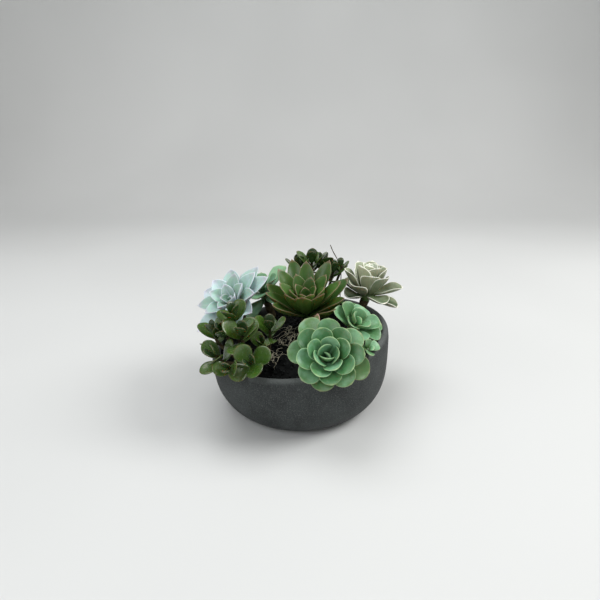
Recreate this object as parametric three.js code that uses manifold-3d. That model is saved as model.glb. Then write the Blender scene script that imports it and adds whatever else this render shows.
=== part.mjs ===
// A wide stone bowl planted with succulents: seven leaf rosettes, three jade bushes,
// a pink-edged bud and a dry twig, all standing in dark soil.
// Millimetres, +Z up. The bowl's axis is the Z axis and its foot stands on z = 0.
// The front of the arrangement, where the big rosette hangs over the rim, faces -Y.
import * as THREE from 'three';
import { mergeVertices } from 'three/addons/utils/BufferGeometryUtils.js';
import Module from 'manifold-3d';

const wasm = await Module();
wasm.setup();

// ---------------------------------------------------------------- driving dimensions

const DEG = Math.PI / 180;
const GOLDEN_ANGLE = 137.508 * DEG;

const FOOT_RADIUS = 84; // flat underside of the bowl
const BELLY_RADIUS = 124.5; // widest ring
const BELLY_HEIGHT = 80; // height of the widest ring
const SIDE_ROUNDNESS = 1.65; // superellipse exponents of the lower bowl
const UNDER_ROUNDNESS = 2.7;
const RIM_HEIGHT = 102; // mean height of the lip
const RIM_SLANT = 18; // the lip rises and falls by this much
const RIM_HIGH_SIDE = 25 * DEG; // compass direction of the lip's highest point
const SLANT_START = 55; // below this height the bowl is true
const WALL = 10;
const FLOOR = 14;
const ROUND = 32; // segments round the bowl

const SOIL_LEVEL = 84; // at the wall, before the slant
const SOIL_RADIUS = 113.2; // where its top meets the wall
const SOIL_CROWN = 20; // the middle is mounded this much higher
const SOIL_LUMP = 1.6; // relief of the gravelly top
const SEAT_GAP = 0.3; // clearance between pieces that touch
const STEM_FOOT = 62; // stems reach down to this height in the soil
const HEART_RADIUS = 2.5; // the leafy core of a rosette widens from this below the heart

const STEM_SIDES = 6;
const LEAF_SIDES = 4; // section of every leaf: two edges, a back and a keel
const LEAF_STATIONS = 4; // sections along a leaf
const SMALL_LEAF_STATIONS = 3; // the same for jade leaves and for the young leaves of a rosette
const YOUNG = 0.5; // leaves younger than this share of the spiral are small

// Leaf outlines: foot width as a share of the full width, where along the leaf it is
// widest, and the two exponents of the closing curve (1 - x^a)^b at the tip.
const OUTLINES = {
  spoon: { foot: 0.22, widest: 0.72, a: 2, b: 0.5 },
  pointed: { foot: 0.42, widest: 0.6, a: 2.1, b: 0.72 },
  broad: { foot: 0.3, widest: 0.62, a: 1.6, b: 0.75 },
  cupped: { foot: 0.3, widest: 0.66, a: 2.4, b: 0.55 },
  jade: { foot: 0.2, widest: 0.64, a: 2, b: 0.5 },
};

// Rosettes. heart: centre of the youngest leaves. lean, toward: how far and to which
// compass direction the axis tips. first, hand: azimuth of the youngest leaf and sense of
// the spiral. Pairs run from the youngest leaf to the oldest; a third number is the power
// of the ramp between them. raise: angle above the rosette's own plane at the leaf's foot,
// curl: how much that angle grows along the leaf, drop: how far down the stem the oldest
// leaf sits, core: radius of the leafy core down there, root: where the stem enters the soil.
const ROSETTES = {
  silver_rosette: {
    heart: [-93, 8, 144], lean: 40, toward: -128, first: 47, hand: 1, leaves: 22,
    raise: [82, 12, 0.55], curl: [-2, -2], length: [14, 62, 0.55], width: [6, 15.2, 0.5],
    drop: 14, core: 7.5, thickness: 4.2, cup: 0.3, outline: 'broad', root: [-81, 19], stem: 6,
    nudges: [
      [12, 0, 8, 0.8], [15, 0, 0, 0.8], [17, -13, 0, 1.05], [18, 13, 4, 1],
      [20, 0, 10, 0.75],
    ],
  },
  green_rosette: {
    heart: [9, 12, 138], lean: 17, toward: -95, first: 185, hand: 1, leaves: 28,
    raise: [80, 16, 0.8], curl: [8, 34], length: [14, 78, 0.6], width: [6, 13.2, 0.42],
    drop: 14, core: 8.5, thickness: 4.6, cup: 0.26, outline: 'pointed', root: [9, 21], stem: 7,
    nudges: [
      [14, 0, 6, 1], [15, 0, 2, 1.12], [16, 0, 6, 1], [18, 0, 3, 1.08],
      [19, -14, 14, 0.95], [20, 0, 2, 1.13], [23, 0, 2, 1.1], [24, -24, 4, 0.95],
      [25, 0, -4, 0.95], [26, 0, 0, 0.86], [27, 14, 6, 0.8],
    ],
  },
  front_rosette: {
    heart: [33, -112, 119.5], lean: 49, toward: -93, first: 40, hand: -1, leaves: 25,
    raise: [78, 8, 0.6], curl: [25, -14], length: [15, 47, 0.42], width: [7, 15.2, 0.35],
    drop: 6, core: 7.5, thickness: 4.2, cup: 0.18, outline: 'spoon', root: [33, -90], stem: 6,
    nudges: [
      [14, 0, 4, 0.92], [17, 0, 0, 0.93], [19, 0, 4, 0.9], [22, 0, 6, 0.8],
      [23, 0, 0, 1.1],
    ],
  },
  right_rosette: {
    heart: [74, -28, 127], lean: 38, toward: -48, first: 40, hand: 1, leaves: 14,
    raise: [72, 4, 0.6], curl: [18, -12], length: [14, 37, 0.42], width: [6.5, 14.6, 0.4],
    drop: 8, core: 6.5, thickness: 4, cup: 0.22, outline: 'spoon', root: [76, -18], stem: 5,
    nudges: [
      [3, 0, 0, 0.85], [5, 0, 0, 1.12], [6, 2, 4, 1.05], [8, 12, 0, 0.9],
      [9, -20, 8, 1.05], [10, 0, 13, 1.05], [11, 4, 8, 0.9], [13, -10, 20, 1.05],
    ],
  },
  sage_rosette: {
    heart: [99, 44, 157], lean: 7, toward: -20, first: 333, hand: 1, leaves: 22,
    raise: [82, -14, 1.5], curl: [10, 14], length: [31, 49, 0.6], width: [10, 15.6, 0.35],
    drop: 16, core: 10, thickness: 4.4, cup: 0.24, outline: 'cupped', root: [85, 37], stem: 6.5,
    nudges: [
      [5, 0, -4, 1], [10, 0, 0, 0.92], [13, -8, 12, 0.95], [15, -8, 3, 0.85],
      [16, -20, 0, 1], [17, 8, 6, 0.7], [18, 12, -6, 0.75], [20, 4, 4, 0.58],
      [21, 0, 0, 0.85],
    ],
  },
  back_rosette: {
    heart: [-60, 80, 144], lean: 20, toward: -140, first: 157.5, hand: 1, leaves: 12,
    raise: [76, -8, 0.8], curl: [10, -10], length: [14, 46, 0.5], width: [7, 17, 0.4],
    drop: 22, core: 7, thickness: 4.2, cup: 0.2, outline: 'spoon', root: [-44, 80], stem: 6,
    nudges: [[2, 0, 0, 0.8], [5, 0, 0, 0.9], [7, 0, 6, 1.3]],
  },
  offset_rosette: {
    heart: [86, -78, 114], lean: 40, toward: -42, first: 350, hand: 1, leaves: 5,
    raise: [60, 20, 0.6], curl: [10, -10], length: [9, 17, 0.5], width: [4.5, 7.6, 0.5],
    drop: 2, core: 3.6, thickness: 3.2, cup: 0.16, outline: 'spoon', root: [81, -70], stem: 2.4,
  },
  pink_bud: {
    heart: [22, -43, 129], lean: 25, toward: 160, first: 140, hand: 1, leaves: 4,
    raise: [76, 50, 0.8], curl: [4, -6], length: [15, 22, 0.6], width: [3.8, 5.5, 0.5],
    drop: 4, core: 3.2, thickness: 3, cup: 0.2, outline: 'pointed', root: [25, -42], stem: 2.4,
  },
};

// Jade bushes. root: where the trunk leaves the soil. Each shoot: the place of its crown,
// how far and where to it leans, the direction of its first leaf pair, the length of its
// longest leaves and how many pairs it bears.
const JADE_BUSHES = {
  jade_front: {
    root: [-68, -58],
    trunk: 4.2,
    shoots: [
      { crown: [-84, -58, 152], lean: 10, toward: -95, first: -30, leaf: 31, pairs: 3 },
      { crown: [-73, -76, 134], lean: 24, toward: -90, first: 75, leaf: 35, pairs: 3 },
      { crown: [-113, -50, 124], lean: 20, toward: 180, first: 60, leaf: 31, pairs: 3 },
      { crown: [-106, -84, 108], lean: 42, toward: 225, first: 20, leaf: 32, pairs: 3 },
      { crown: [-61, -105, 109], lean: 52, toward: -88, first: 38, leaf: 33, pairs: 3 },
      { crown: [-86, -108, 101], lean: 50, toward: -115, first: 80, leaf: 28, pairs: 2 },
      { crown: [-97, -64, 132], lean: 24, toward: 215, first: 10, leaf: 29, pairs: 2 },
    ],
  },
  jade_middle: {
    root: [-42, -42],
    trunk: 3.2,
    shoots: [
      { crown: [-40, -44.5, 128], lean: 12, toward: -90, first: 90, leaf: 33, pairs: 3 },
      { crown: [-50, -66, 115], lean: 26, toward: -100, first: 38, leaf: 25, pairs: 2 },
    ],
  },
  jade_back: {
    root: [28, 84],
    trunk: 3.8,
    shoots: [
      { crown: [18, 83, 181], lean: 6, toward: -100, first: 80, leaf: 35, pairs: 3 },
      { crown: [0, 85, 174], lean: 8, toward: 170, first: 100, leaf: 33, pairs: 2 },
      { crown: [33, 88, 177], lean: 10, toward: 40, first: 30, leaf: 33, pairs: 2 },
      { crown: [50, 75, 169], lean: 12, toward: -20, first: 105, leaf: 31, pairs: 3 },
      { crown: [61.5, 77, 177], lean: 8, toward: 90, first: 90, leaf: 22, pairs: 2 },
    ],
  },
};
// Leaf pairs of a shoot from its tip down: length share, raise and curl in degrees.
const JADE_PAIRS = [
  { share: 0.6, raise: 72, curl: 4 },
  { share: 0.95, raise: 48, curl: 8 },
  { share: 1, raise: 20, curl: 14 },
];
const JADE_PAIR_STEP = 8; // distance between pairs down the shoot
const JADE_WIDTH = 0.37; // half width as a share of the length
const JADE_THICKNESS = 3.4;
const JADE_TWIG = 2; // radius of a shoot

// The dry twig at the back, from its foot in the soil to its broken top.
const TWIG_ROUTE = [[63, 86, 100], [63, 88, 135], [63, 93, 170], [50, 88, 198], [46, 86, 208]];
const TWIG_RADIUS = 0.9;

// ---------------------------------------------------------------- materials

const finish = (color, roughness) => new THREE.MeshStandardMaterial({ color, roughness, metalness: 0 });
const MATERIALS = {
  stone: finish(0x3d4343, 0.85),
  soil: finish(0x17191a, 0.95),
  silver_leaf: finish(0xa9c4b8, 0.6),
  green_leaf: finish(0x5c7d45, 0.5),
  round_leaf: finish(0x6b9a63, 0.5),
  light_leaf: finish(0x7fae72, 0.5),
  sage_leaf: finish(0xa3a783, 0.6),
  jade_leaf: finish(0x38501f, 0.35),
  bud_leaf: finish(0x8b8f5c, 0.5),
  twig: finish(0x5b4a3a, 0.9),
};

// ---------------------------------------------------------------- solids

// Welds a geometry's corners and drops the triangles that the welding closes up.
function weld(geometry) {
  geometry.deleteAttribute('normal');
  geometry.deleteAttribute('uv');
  const merged = mergeVertices(geometry, 1e-4);
  const index = merged.index.array;
  const kept = [];
  for (let i = 0; i < index.length; i += 3) {
    const [a, b, c] = index.slice(i, i + 3);
    if (a !== b && b !== c && c !== a) kept.push(a, b, c);
  }
  merged.setIndex(kept);
  return merged;
}

function toSolid(geometry) {
  const welded = weld(geometry);
  return new wasm.Manifold(new wasm.Mesh({
    numProp: 3,
    vertProperties: new Float32Array(welded.attributes.position.array),
    triVerts: new Uint32Array(welded.index.array),
  }));
}

function toGeometry(solid) {
  const { vertProperties, triVerts } = solid.getMesh();
  const geometry = new THREE.BufferGeometry();
  geometry.setAttribute('position', new THREE.BufferAttribute(vertProperties, 3));
  geometry.setIndex(new THREE.BufferAttribute(triVerts, 1));
  geometry.computeVertexNormals();
  return geometry;
}

// Joins solids into one body. The largest shell is kept, so sealed hollows are filled
// and loose scraps fall away.
function fuse(solids) {
  const joined = wasm.Manifold.union(solids);
  return joined.decompose().reduce((best, next) => (next.volume() > best.volume() ? next : best));
}

// A round bar along a smooth route, as an extruded regular polygon.
function bar(route, radius, sides, steps) {
  const section = new THREE.Shape();
  for (let i = 0; i < sides; i += 1) {
    const turn = (i + 0.5) * 2 * Math.PI / sides;
    section[i ? 'lineTo' : 'moveTo'](radius * Math.cos(turn), radius * Math.sin(turn));
  }
  section.closePath();
  const path = new THREE.CatmullRomCurve3(route.map((p) => new THREE.Vector3(...p)));
  return new THREE.ExtrudeGeometry(section, { extrudePath: path, steps, bevelEnabled: false });
}

// ---------------------------------------------------------------- leaves

const ramp = ([young, old, power = 1], age) => young + (old - young) * age ** power;

// Share of the full half width at s, 0 at the leaf's foot and 1 at its tip.
function outlineAt({ foot, widest, a, b }, s) {
  if (s < widest) return foot + (1 - foot) * Math.sin(s / widest * Math.PI / 2);
  return (1 - ((s - widest) / (1 - widest)) ** a) ** b;
}

// One leaf: a cone with few sides, laid along an arc and pulled out to the outline.
// The arc starts at `reach` from the axis, rises at `raise` and turns up by `curl`.
function leafGeometry(leaf) {
  const { reach, height, azimuth, raise, curl, length, width, thickness, cup, outline } = leaf;
  const geometry = new THREE.ConeGeometry(1, 1, LEAF_SIDES, leaf.stations);
  const turn = Math.abs(curl) < 1e-3 ? 1e-3 : curl;
  const position = geometry.attributes.position;
  const point = new THREE.Vector3();
  for (let i = 0; i < position.count; i += 1) {
    point.fromBufferAttribute(position, i);
    const s = 1 - (0.5 - point.y) ** 1.6;
    const share = outlineAt(OUTLINES[outline], s);
    const size = Math.hypot(point.x, point.z);
    const across = size > 1e-6 ? -point.x / size * width * share : 0;
    const closing = s < 0.6 ? 1 : Math.sqrt(Math.max(0, 1 - ((s - 0.6) / 0.4) ** 2));
    const deep = size > 1e-6 ? point.z / size * thickness / 2 * closing : 0;
    const lift = deep + cup * across * across / width * 2;
    const angle = raise + turn * s;
    const out = reach + length / turn * (Math.sin(angle) - Math.sin(raise)) - lift * Math.sin(angle);
    const up = height - length / turn * (Math.cos(angle) - Math.cos(raise)) + lift * Math.cos(angle);
    position.setXYZ(i, out, across, up);
  }
  return geometry.rotateZ(azimuth);
}

// ---------------------------------------------------------------- rosettes

// Turns the rosette's own frame, axis up, into the object's: a tip of `lean` toward a
// compass direction, then a move to the heart.
function placement({ heart, lean, toward }) {
  const compass = toward * DEG;
  const hinge = new THREE.Vector3(-Math.sin(compass), Math.cos(compass), 0);
  const matrix = new THREE.Matrix4().makeRotationAxis(hinge, lean * DEG);
  return matrix.setPosition(...heart);
}

const coreRadius = ({ core }, age) => HEART_RADIUS + (core - HEART_RADIUS) * Math.sqrt(age);

// The core that the leaf feet are sunk in, a blunt cone about the rosette's axis.
function coreGeometry(rosette) {
  const side = [1, 0.4, 0].map((age) => [coreRadius(rosette, age), 1 - (rosette.drop + 2) * age]);
  const foot = -rosette.drop - 8;
  return lathe([[0, foot], [rosette.stem, foot], ...side, [0, 2]], STEM_SIDES);
}

// Leaf i of the spiral, youngest first. `nudges` lists leaves that are bent clear of a
// neighbour: number, then added azimuth, added raise (degrees) and length factor.
function spiralLeaf(rosette, i) {
  const age = i / (rosette.leaves - 1);
  const [, swing = 0, lift = 0, stretch = 1] = rosette.nudges?.find(([n]) => n === i) ?? [];
  return {
    reach: coreRadius(rosette, age) - 1.5,
    height: -rosette.drop * age,
    azimuth: (rosette.first + swing) * DEG + rosette.hand * GOLDEN_ANGLE * i,
    raise: (ramp(rosette.raise, age) + lift) * DEG,
    curl: ramp(rosette.curl, age) * DEG,
    length: ramp(rosette.length, age) * stretch,
    width: ramp(rosette.width, age),
    thickness: rosette.thickness,
    cup: rosette.cup,
    outline: rosette.outline,
    stations: age < YOUNG ? SMALL_LEAF_STATIONS : LEAF_STATIONS,
  };
}

// A stem runs straight up out of the soil before it bends.
const rooted = (x, y) => [[x, y, STEM_FOOT], [x, y, soilHeight(x, y) - 8], [x, y, soilHeight(x, y) + 5]];

function stemRoute(rosette, frame) {
  const [x, y] = rosette.root;
  const neck = new THREE.Vector3(0, 0, -rosette.drop - 6).applyMatrix4(frame);
  return [...rooted(x, y), neck.toArray()];
}

function rosetteSolid(rosette) {
  const frame = placement(rosette);
  const pieces = [
    toSolid(bar(stemRoute(rosette, frame), rosette.stem, STEM_SIDES, 5)),
    toSolid(coreGeometry(rosette).applyMatrix4(frame)),
  ];
  for (let i = 0; i < rosette.leaves; i += 1) {
    pieces.push(toSolid(leafGeometry(spiralLeaf(rosette, i)).applyMatrix4(frame)));
  }
  return fuse(pieces);
}

// ---------------------------------------------------------------- jade bushes

// Leaf pairs at right angles to each other down the shoot.
function jadeShoot({ first, leaf, pairs }, frame) {
  const leaves = [];
  JADE_PAIRS.slice(0, pairs).forEach(({ share, raise, curl }, pair) => {
    for (const side of [0, 180]) {
      const geometry = leafGeometry({
        reach: 1.1,
        height: -JADE_PAIR_STEP * pair,
        azimuth: (first + side + 90 * pair) * DEG,
        raise: raise * DEG,
        curl: curl * DEG,
        length: leaf * share,
        width: leaf * share * JADE_WIDTH,
        thickness: JADE_THICKNESS,
        cup: 0.1,
        outline: 'jade',
        stations: SMALL_LEAF_STATIONS,
      });
      leaves.push(toSolid(geometry.applyMatrix4(frame)));
    }
  });
  return leaves;
}

function jadeSolid({ root: [x, y], trunk, shoots }) {
  const fork = soilHeight(x, y) + 6;
  const pieces = [toSolid(bar([[x, y, STEM_FOOT], [x, y, fork]], trunk, STEM_SIDES, 1))];
  for (const shoot of shoots) {
    const [cx, cy] = shoot.crown;
    const frame = placement({ ...shoot, heart: shoot.crown });
    const low = new THREE.Vector3(0, 0, (1 - shoot.pairs) * JADE_PAIR_STEP).applyMatrix4(frame).toArray();
    const top = new THREE.Vector3(0, 0, 2).applyMatrix4(frame).toArray();
    const route = [[x, y, fork - 4], [x + (cx - x) * 0.3, y + (cy - y) * 0.3, fork], low, top];
    pieces.push(toSolid(bar(route, JADE_TWIG, 5, 3)), ...jadeShoot(shoot, frame));
  }
  return fuse(pieces);
}

// ---------------------------------------------------------------- bowl and soil

// The slanted lip: points above SLANT_START rise and fall with the compass.
function slantedHeight(x, y, z) {
  const share = Math.min(1, Math.max(0, (z - SLANT_START) / (RIM_HEIGHT - SLANT_START)));
  const eased = share * share * (3 - 2 * share);
  const side = (x * Math.cos(RIM_HIGH_SIDE) + y * Math.sin(RIM_HIGH_SIDE)) / BELLY_RADIUS;
  return z + RIM_SLANT * eased * side;
}

function slant(geometry) {
  const position = geometry.attributes.position;
  for (let i = 0; i < position.count; i += 1) {
    const [x, y, z] = [position.getX(i), position.getY(i), position.getZ(i)];
    position.setZ(i, slantedHeight(x, y, z));
  }
  return geometry;
}

// The lower bowl swells from the foot to the belly along a superellipse.
function bowlCurve(count, inset) {
  const points = [];
  for (let i = 0; i <= count; i += 1) {
    const turn = i / count * Math.PI / 2;
    const radius = FOOT_RADIUS + (BELLY_RADIUS - FOOT_RADIUS) * Math.sin(turn) ** (2 / SIDE_ROUNDNESS);
    const height = BELLY_HEIGHT * (1 - Math.cos(turn) ** (2 / UNDER_ROUNDNESS));
    points.push([radius - inset, Math.max(height, inset ? FLOOR : 0)]);
  }
  return points;
}

// A profile of [radius, height] points, from the foot up, turned about the Z axis.
function lathe(profile, segments) {
  const points = profile.map(([radius, height]) => new THREE.Vector2(radius, height));
  return new THREE.LatheGeometry(points, segments).rotateX(Math.PI / 2);
}

function potGeometry() {
  const lip = [
    [124.3, 92], [122.8, 99.4], [118.6, RIM_HEIGHT], [114.6, 100.8], [112.5, 95.4], [113.4, 86],
  ];
  const inside = bowlCurve(3, WALL).reverse().filter(([, height]) => height > FLOOR);
  const profile = [[0, 0], ...bowlCurve(6, 0), ...lip, ...inside, [86, FLOOR], [0, FLOOR]];
  return weld(slant(lathe(profile, ROUND)));
}

// The soil is mounded, with crossing ripples for lumps about a finger wide.
const mound = (radius) => SOIL_LEVEL + SOIL_CROWN * (1 - (radius / SOIL_RADIUS) ** 2);
const soilHeight = (x, y) => slantedHeight(x, y, mound(Math.hypot(x, y)));
function soilLump(x, y) {
  return Math.sin(x * 0.31 + 1.3) * Math.sin(y * 0.27 + 0.4) + 0.6 * Math.sin(x * 0.13 - y * 0.19);
}

function soilSolid(stems) {
  const outside = bowlCurve(3, WALL + SEAT_GAP * 1.5).filter(([, height]) => height > FLOOR);
  const wall = [[86 - SEAT_GAP * 1.5, FLOOR + SEAT_GAP], ...outside, [SOIL_RADIUS, SOIL_LEVEL]];
  const top = [98, 72, 40, 0].map((radius) => [radius, mound(radius)]);
  const geometry = lathe([[0, FLOOR + SEAT_GAP], ...wall, ...top], ROUND);
  const position = geometry.attributes.position;
  for (let i = 0; i < position.count; i += 1) {
    const [x, y, z] = [position.getX(i), position.getY(i), position.getZ(i)];
    if (z > SOIL_LEVEL + 0.5) position.setZ(i, z + SOIL_LUMP * soilLump(x, y));
  }
  let soil = toSolid(slant(geometry));
  for (const { root: [x, y], radius } of stems) {
    const wide = radius + SEAT_GAP * 1.5;
    const hole = new THREE.CylinderGeometry(wide, wide, 60, STEM_SIDES, 1);
    const turned = hole.rotateX(Math.PI / 2).rotateZ(Math.PI / STEM_SIDES);
    soil = soil.subtract(toSolid(turned.translate(x, y, STEM_FOOT - 0.5 + 30)));
  }
  return soil;
}

// ---------------------------------------------------------------- assembly

const arrangement = new THREE.Group();
arrangement.name = 'succulent_bowl';

function add(name, geometry, material) {
  const mesh = new THREE.Mesh(geometry, material);
  mesh.name = name;
  arrangement.add(mesh);
}

const LEAF_MATERIALS = {
  silver_rosette: MATERIALS.silver_leaf,
  green_rosette: MATERIALS.green_leaf,
  front_rosette: MATERIALS.round_leaf,
  right_rosette: MATERIALS.light_leaf,
  sage_rosette: MATERIALS.sage_leaf,
  back_rosette: MATERIALS.light_leaf,
  offset_rosette: MATERIALS.light_leaf,
  pink_bud: MATERIALS.bud_leaf,
};

const stems = [
  ...Object.values(ROSETTES).map(({ root, stem }) => ({ root, radius: stem })),
  ...Object.values(JADE_BUSHES).map(({ root, trunk }) => ({ root, radius: trunk })),
  { root: TWIG_ROUTE[0], radius: TWIG_RADIUS },
];

add('pot', potGeometry(), MATERIALS.stone);
add('soil', toGeometry(soilSolid(stems)), MATERIALS.soil);
for (const [name, rosette] of Object.entries(ROSETTES)) {
  add(name, toGeometry(rosetteSolid(rosette)), LEAF_MATERIALS[name]);
}
for (const [name, bush] of Object.entries(JADE_BUSHES)) {
  add(name, toGeometry(jadeSolid(bush)), MATERIALS.jade_leaf);
}
add('twig', weld(bar([[...TWIG_ROUTE[0].slice(0, 2), STEM_FOOT], ...TWIG_ROUTE], TWIG_RADIUS, 6, 10)),
  MATERIALS.twig);

export default arrangement;
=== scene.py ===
"""A wide charcoal stone bowl planted with succulents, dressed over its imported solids.

Shapes are worked out in millimetres on numpy grids and become meshes in metres, in the
frame of the solids: +Z up, the bowl's foot on z = 0 and the arrangement's front towards -Y.
"""

import math

import bpy
import numpy as np
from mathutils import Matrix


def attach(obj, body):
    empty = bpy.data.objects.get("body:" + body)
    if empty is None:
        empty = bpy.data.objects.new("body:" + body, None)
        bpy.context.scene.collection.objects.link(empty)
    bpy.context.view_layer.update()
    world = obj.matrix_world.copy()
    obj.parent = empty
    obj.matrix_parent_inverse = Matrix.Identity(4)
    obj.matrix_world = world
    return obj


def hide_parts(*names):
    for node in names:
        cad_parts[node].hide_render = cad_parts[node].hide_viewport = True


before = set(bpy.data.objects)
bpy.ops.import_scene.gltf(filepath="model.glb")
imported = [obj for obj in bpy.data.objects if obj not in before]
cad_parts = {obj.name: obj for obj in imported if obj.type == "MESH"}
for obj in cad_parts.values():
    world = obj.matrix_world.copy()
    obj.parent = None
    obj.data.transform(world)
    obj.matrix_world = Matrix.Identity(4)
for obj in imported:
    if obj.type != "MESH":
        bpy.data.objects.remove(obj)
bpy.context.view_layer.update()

MM = 0.001
GOLDEN_ANGLE = 137.508

# ---------------------------------------------------------------- sizes of the bowl and soil

FOOT_RADIUS = 84.0  # flat underside of the bowl
BELLY_RADIUS = 124.5  # widest ring
BELLY_HEIGHT = 80.0  # height of the widest ring
SIDE_ROUNDNESS = 1.65
UNDER_ROUNDNESS = 2.7
RIM_HEIGHT = 102.0
RIM_SLANT = 18.0  # the lip rises and falls by this much
RIM_HIGH_SIDE = 25.0  # compass direction of the lip's highest point
SLANT_START = 55.0
WALL = 10.0
FLOOR = 14.0
LIP = [(124.3, 92), (122.8, 99.4), (118.6, 102), (114.6, 100.8), (112.5, 95.4), (113.4, 86)]

SOIL_LEVEL = 84.0
SOIL_RADIUS = 113.2
SOIL_CROWN = 20.0
SOIL_LUMP = 1.6
BOWL_SEGMENTS = 200
SOIL_SEGMENTS = 220
GRIT_GRAINS = 1500
GRIT_RADII = (0.7, 2.3)
STEM_FOOT = 62.0
HEART_RADIUS = 2.5

# ---------------------------------------------------------------- plants

# Leaf outlines: foot width as a share of the full width, where along the leaf it is
# widest, and the exponents of the closing curve (1 - x^a)^b at the tip.
OUTLINES = {
    "spoon": (0.22, 0.72, 2.0, 0.5),
    "pointed": (0.42, 0.6, 2.1, 0.72),
    "broad": (0.3, 0.62, 1.6, 0.75),
    "cupped": (0.3, 0.66, 2.4, 0.55),
    "jade": (0.2, 0.64, 2.0, 0.5),
}

# Rosettes, as in the solids: pairs run from the youngest leaf to the oldest, and a third
# number is the power of the ramp between them. point, keel, groove and wave are the leaf's
# tip spine, back ridge, middle channel and margin ripple in millimetres, and fold is the
# exponent of its section. nudges bend single leaves: number, swing, lift and stretch.
ROSETTES = {
    "silver_rosette": dict(
        heart=(-93, 8, 144), lean=40, toward=-128, first=47, hand=1, leaves=22,
        rise=(82, 12, 0.55), curl=(-2, -2), length=(14, 62, 0.55), width=(6, 15.2, 0.5),
        drop=14, core=7.5, thickness=4.2, cup=0.3, outline="broad", root=(-81, 19), stem=6,
        point=2.2, keel=1.1, groove=0.9, wave=0.3, fold=1.35, seed=11,
        nudges=[
            (12, 0, 8, 0.8), (15, 0, 0, 0.8), (17, -13, 0, 1.05), (18, 13, 4, 1.0),
            (20, 0, 10, 0.75),
        ],
    ),
    "green_rosette": dict(
        heart=(9, 12, 138), lean=17, toward=-95, first=185, hand=1, leaves=28,
        rise=(80, 16, 0.8), curl=(8, 34), length=(14, 78, 0.6), width=(6, 13.2, 0.42),
        drop=14, core=8.5, thickness=4.6, cup=0.26, outline="pointed", root=(9, 21), stem=7,
        point=1.8, keel=1.0, groove=0.3, wave=0.0, seed=12,
        nudges=[
            (14, 0, 6, 1.0), (15, 0, 2, 1.12), (16, 0, 6, 1.0), (18, 0, 3, 1.08),
            (19, -14, 14, 0.95), (20, 0, 2, 1.13), (23, 0, 2, 1.1), (24, -24, 4, 0.95),
            (25, 0, -4, 0.95), (26, 0, 0, 0.86), (27, 14, 6, 0.8),
        ],
    ),
    "front_rosette": dict(
        heart=(33, -112, 119.5), lean=49, toward=-93, first=40, hand=-1, leaves=25,
        rise=(78, 8, 0.6), curl=(25, -14), length=(15, 47, 0.42), width=(7, 15.2, 0.35),
        drop=6, core=7.5, thickness=4.2, cup=0.18, outline="spoon", root=(33, -90), stem=6,
        point=0.6, keel=0.2, groove=0.0, wave=0.5, seed=13,
        nudges=[(14, 0, 4, 0.92), (17, 0, 0, 0.93), (19, 0, 4, 0.9), (22, 0, 6, 0.8), (23, 0, 0, 1.1)],
    ),
    "right_rosette": dict(
        heart=(74, -28, 127), lean=38, toward=-48, first=40, hand=1, leaves=14,
        rise=(72, 4, 0.6), curl=(18, -12), length=(14, 37, 0.42), width=(6.5, 14.6, 0.4),
        drop=8, core=6.5, thickness=4, cup=0.22, outline="spoon", root=(76, -18), stem=5,
        point=0.6, keel=0.2, groove=0.2, wave=0.6, seed=14,
        nudges=[
            (3, 0, 0, 0.85), (5, 0, 0, 1.12), (6, 2, 4, 1.05), (8, 12, 0, 0.9), (9, -20, 8, 1.05),
            (10, 0, 13, 1.05), (11, 4, 8, 0.9), (13, -10, 20, 1.05),
        ],
    ),
    "sage_rosette": dict(
        heart=(99, 44, 157), lean=7, toward=-20, first=333, hand=1, leaves=22,
        rise=(82, -14, 1.5), curl=(10, 14), length=(31, 49, 0.6), width=(10, 15.6, 0.35),
        drop=16, core=10, thickness=4.4, cup=0.24, outline="cupped", root=(85, 37), stem=6.5,
        point=1.4, keel=0.5, groove=0.2, wave=0.4, seed=15,
        nudges=[
            (5, 0, -4, 1.0), (10, 0, 0, 0.92), (13, -8, 12, 0.95), (15, -8, 3, 0.85),
            (16, -20, 0, 1.0), (17, 8, 6, 0.7), (18, 12, -6, 0.75), (20, 4, 4, 0.58),
            (21, 0, 0, 0.85),
        ],
    ),
    "back_rosette": dict(
        heart=(-60, 80, 144), lean=20, toward=-140, first=157.5, hand=1, leaves=12,
        rise=(76, -8, 0.8), curl=(10, -10), length=(14, 46, 0.5), width=(7, 17, 0.4),
        drop=22, core=7, thickness=4.2, cup=0.2, outline="spoon", root=(-44, 80), stem=6,
        point=1.4, keel=0.3, groove=0.3, wave=0.5, seed=16,
        nudges=[(2, 0, 0, 0.8), (5, 0, 0, 0.9), (7, 0, 6, 1.3)],
    ),
    "offset_rosette": dict(
        heart=(86, -78, 114), lean=40, toward=-42, first=350, hand=1, leaves=5,
        rise=(60, 20, 0.6), curl=(10, -10), length=(9, 17, 0.5), width=(4.5, 7.6, 0.5),
        drop=2, core=3.6, thickness=3.2, cup=0.16, outline="spoon", root=(81, -70), stem=2.4,
        point=0.5, keel=0.2, groove=0.1, wave=0.3, seed=17,
    ),
    "pink_bud": dict(
        heart=(22, -43, 129), lean=25, toward=160, first=140, hand=1, leaves=4,
        rise=(76, 50, 0.8), curl=(4, -6), length=(15, 22, 0.6), width=(3.8, 5.5, 0.5),
        drop=4, core=3.2, thickness=3, cup=0.2, outline="pointed", root=(25, -42), stem=2.4,
        point=0.8, keel=0.5, groove=0.3, wave=0.0, seed=18,
    ),
}

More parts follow.
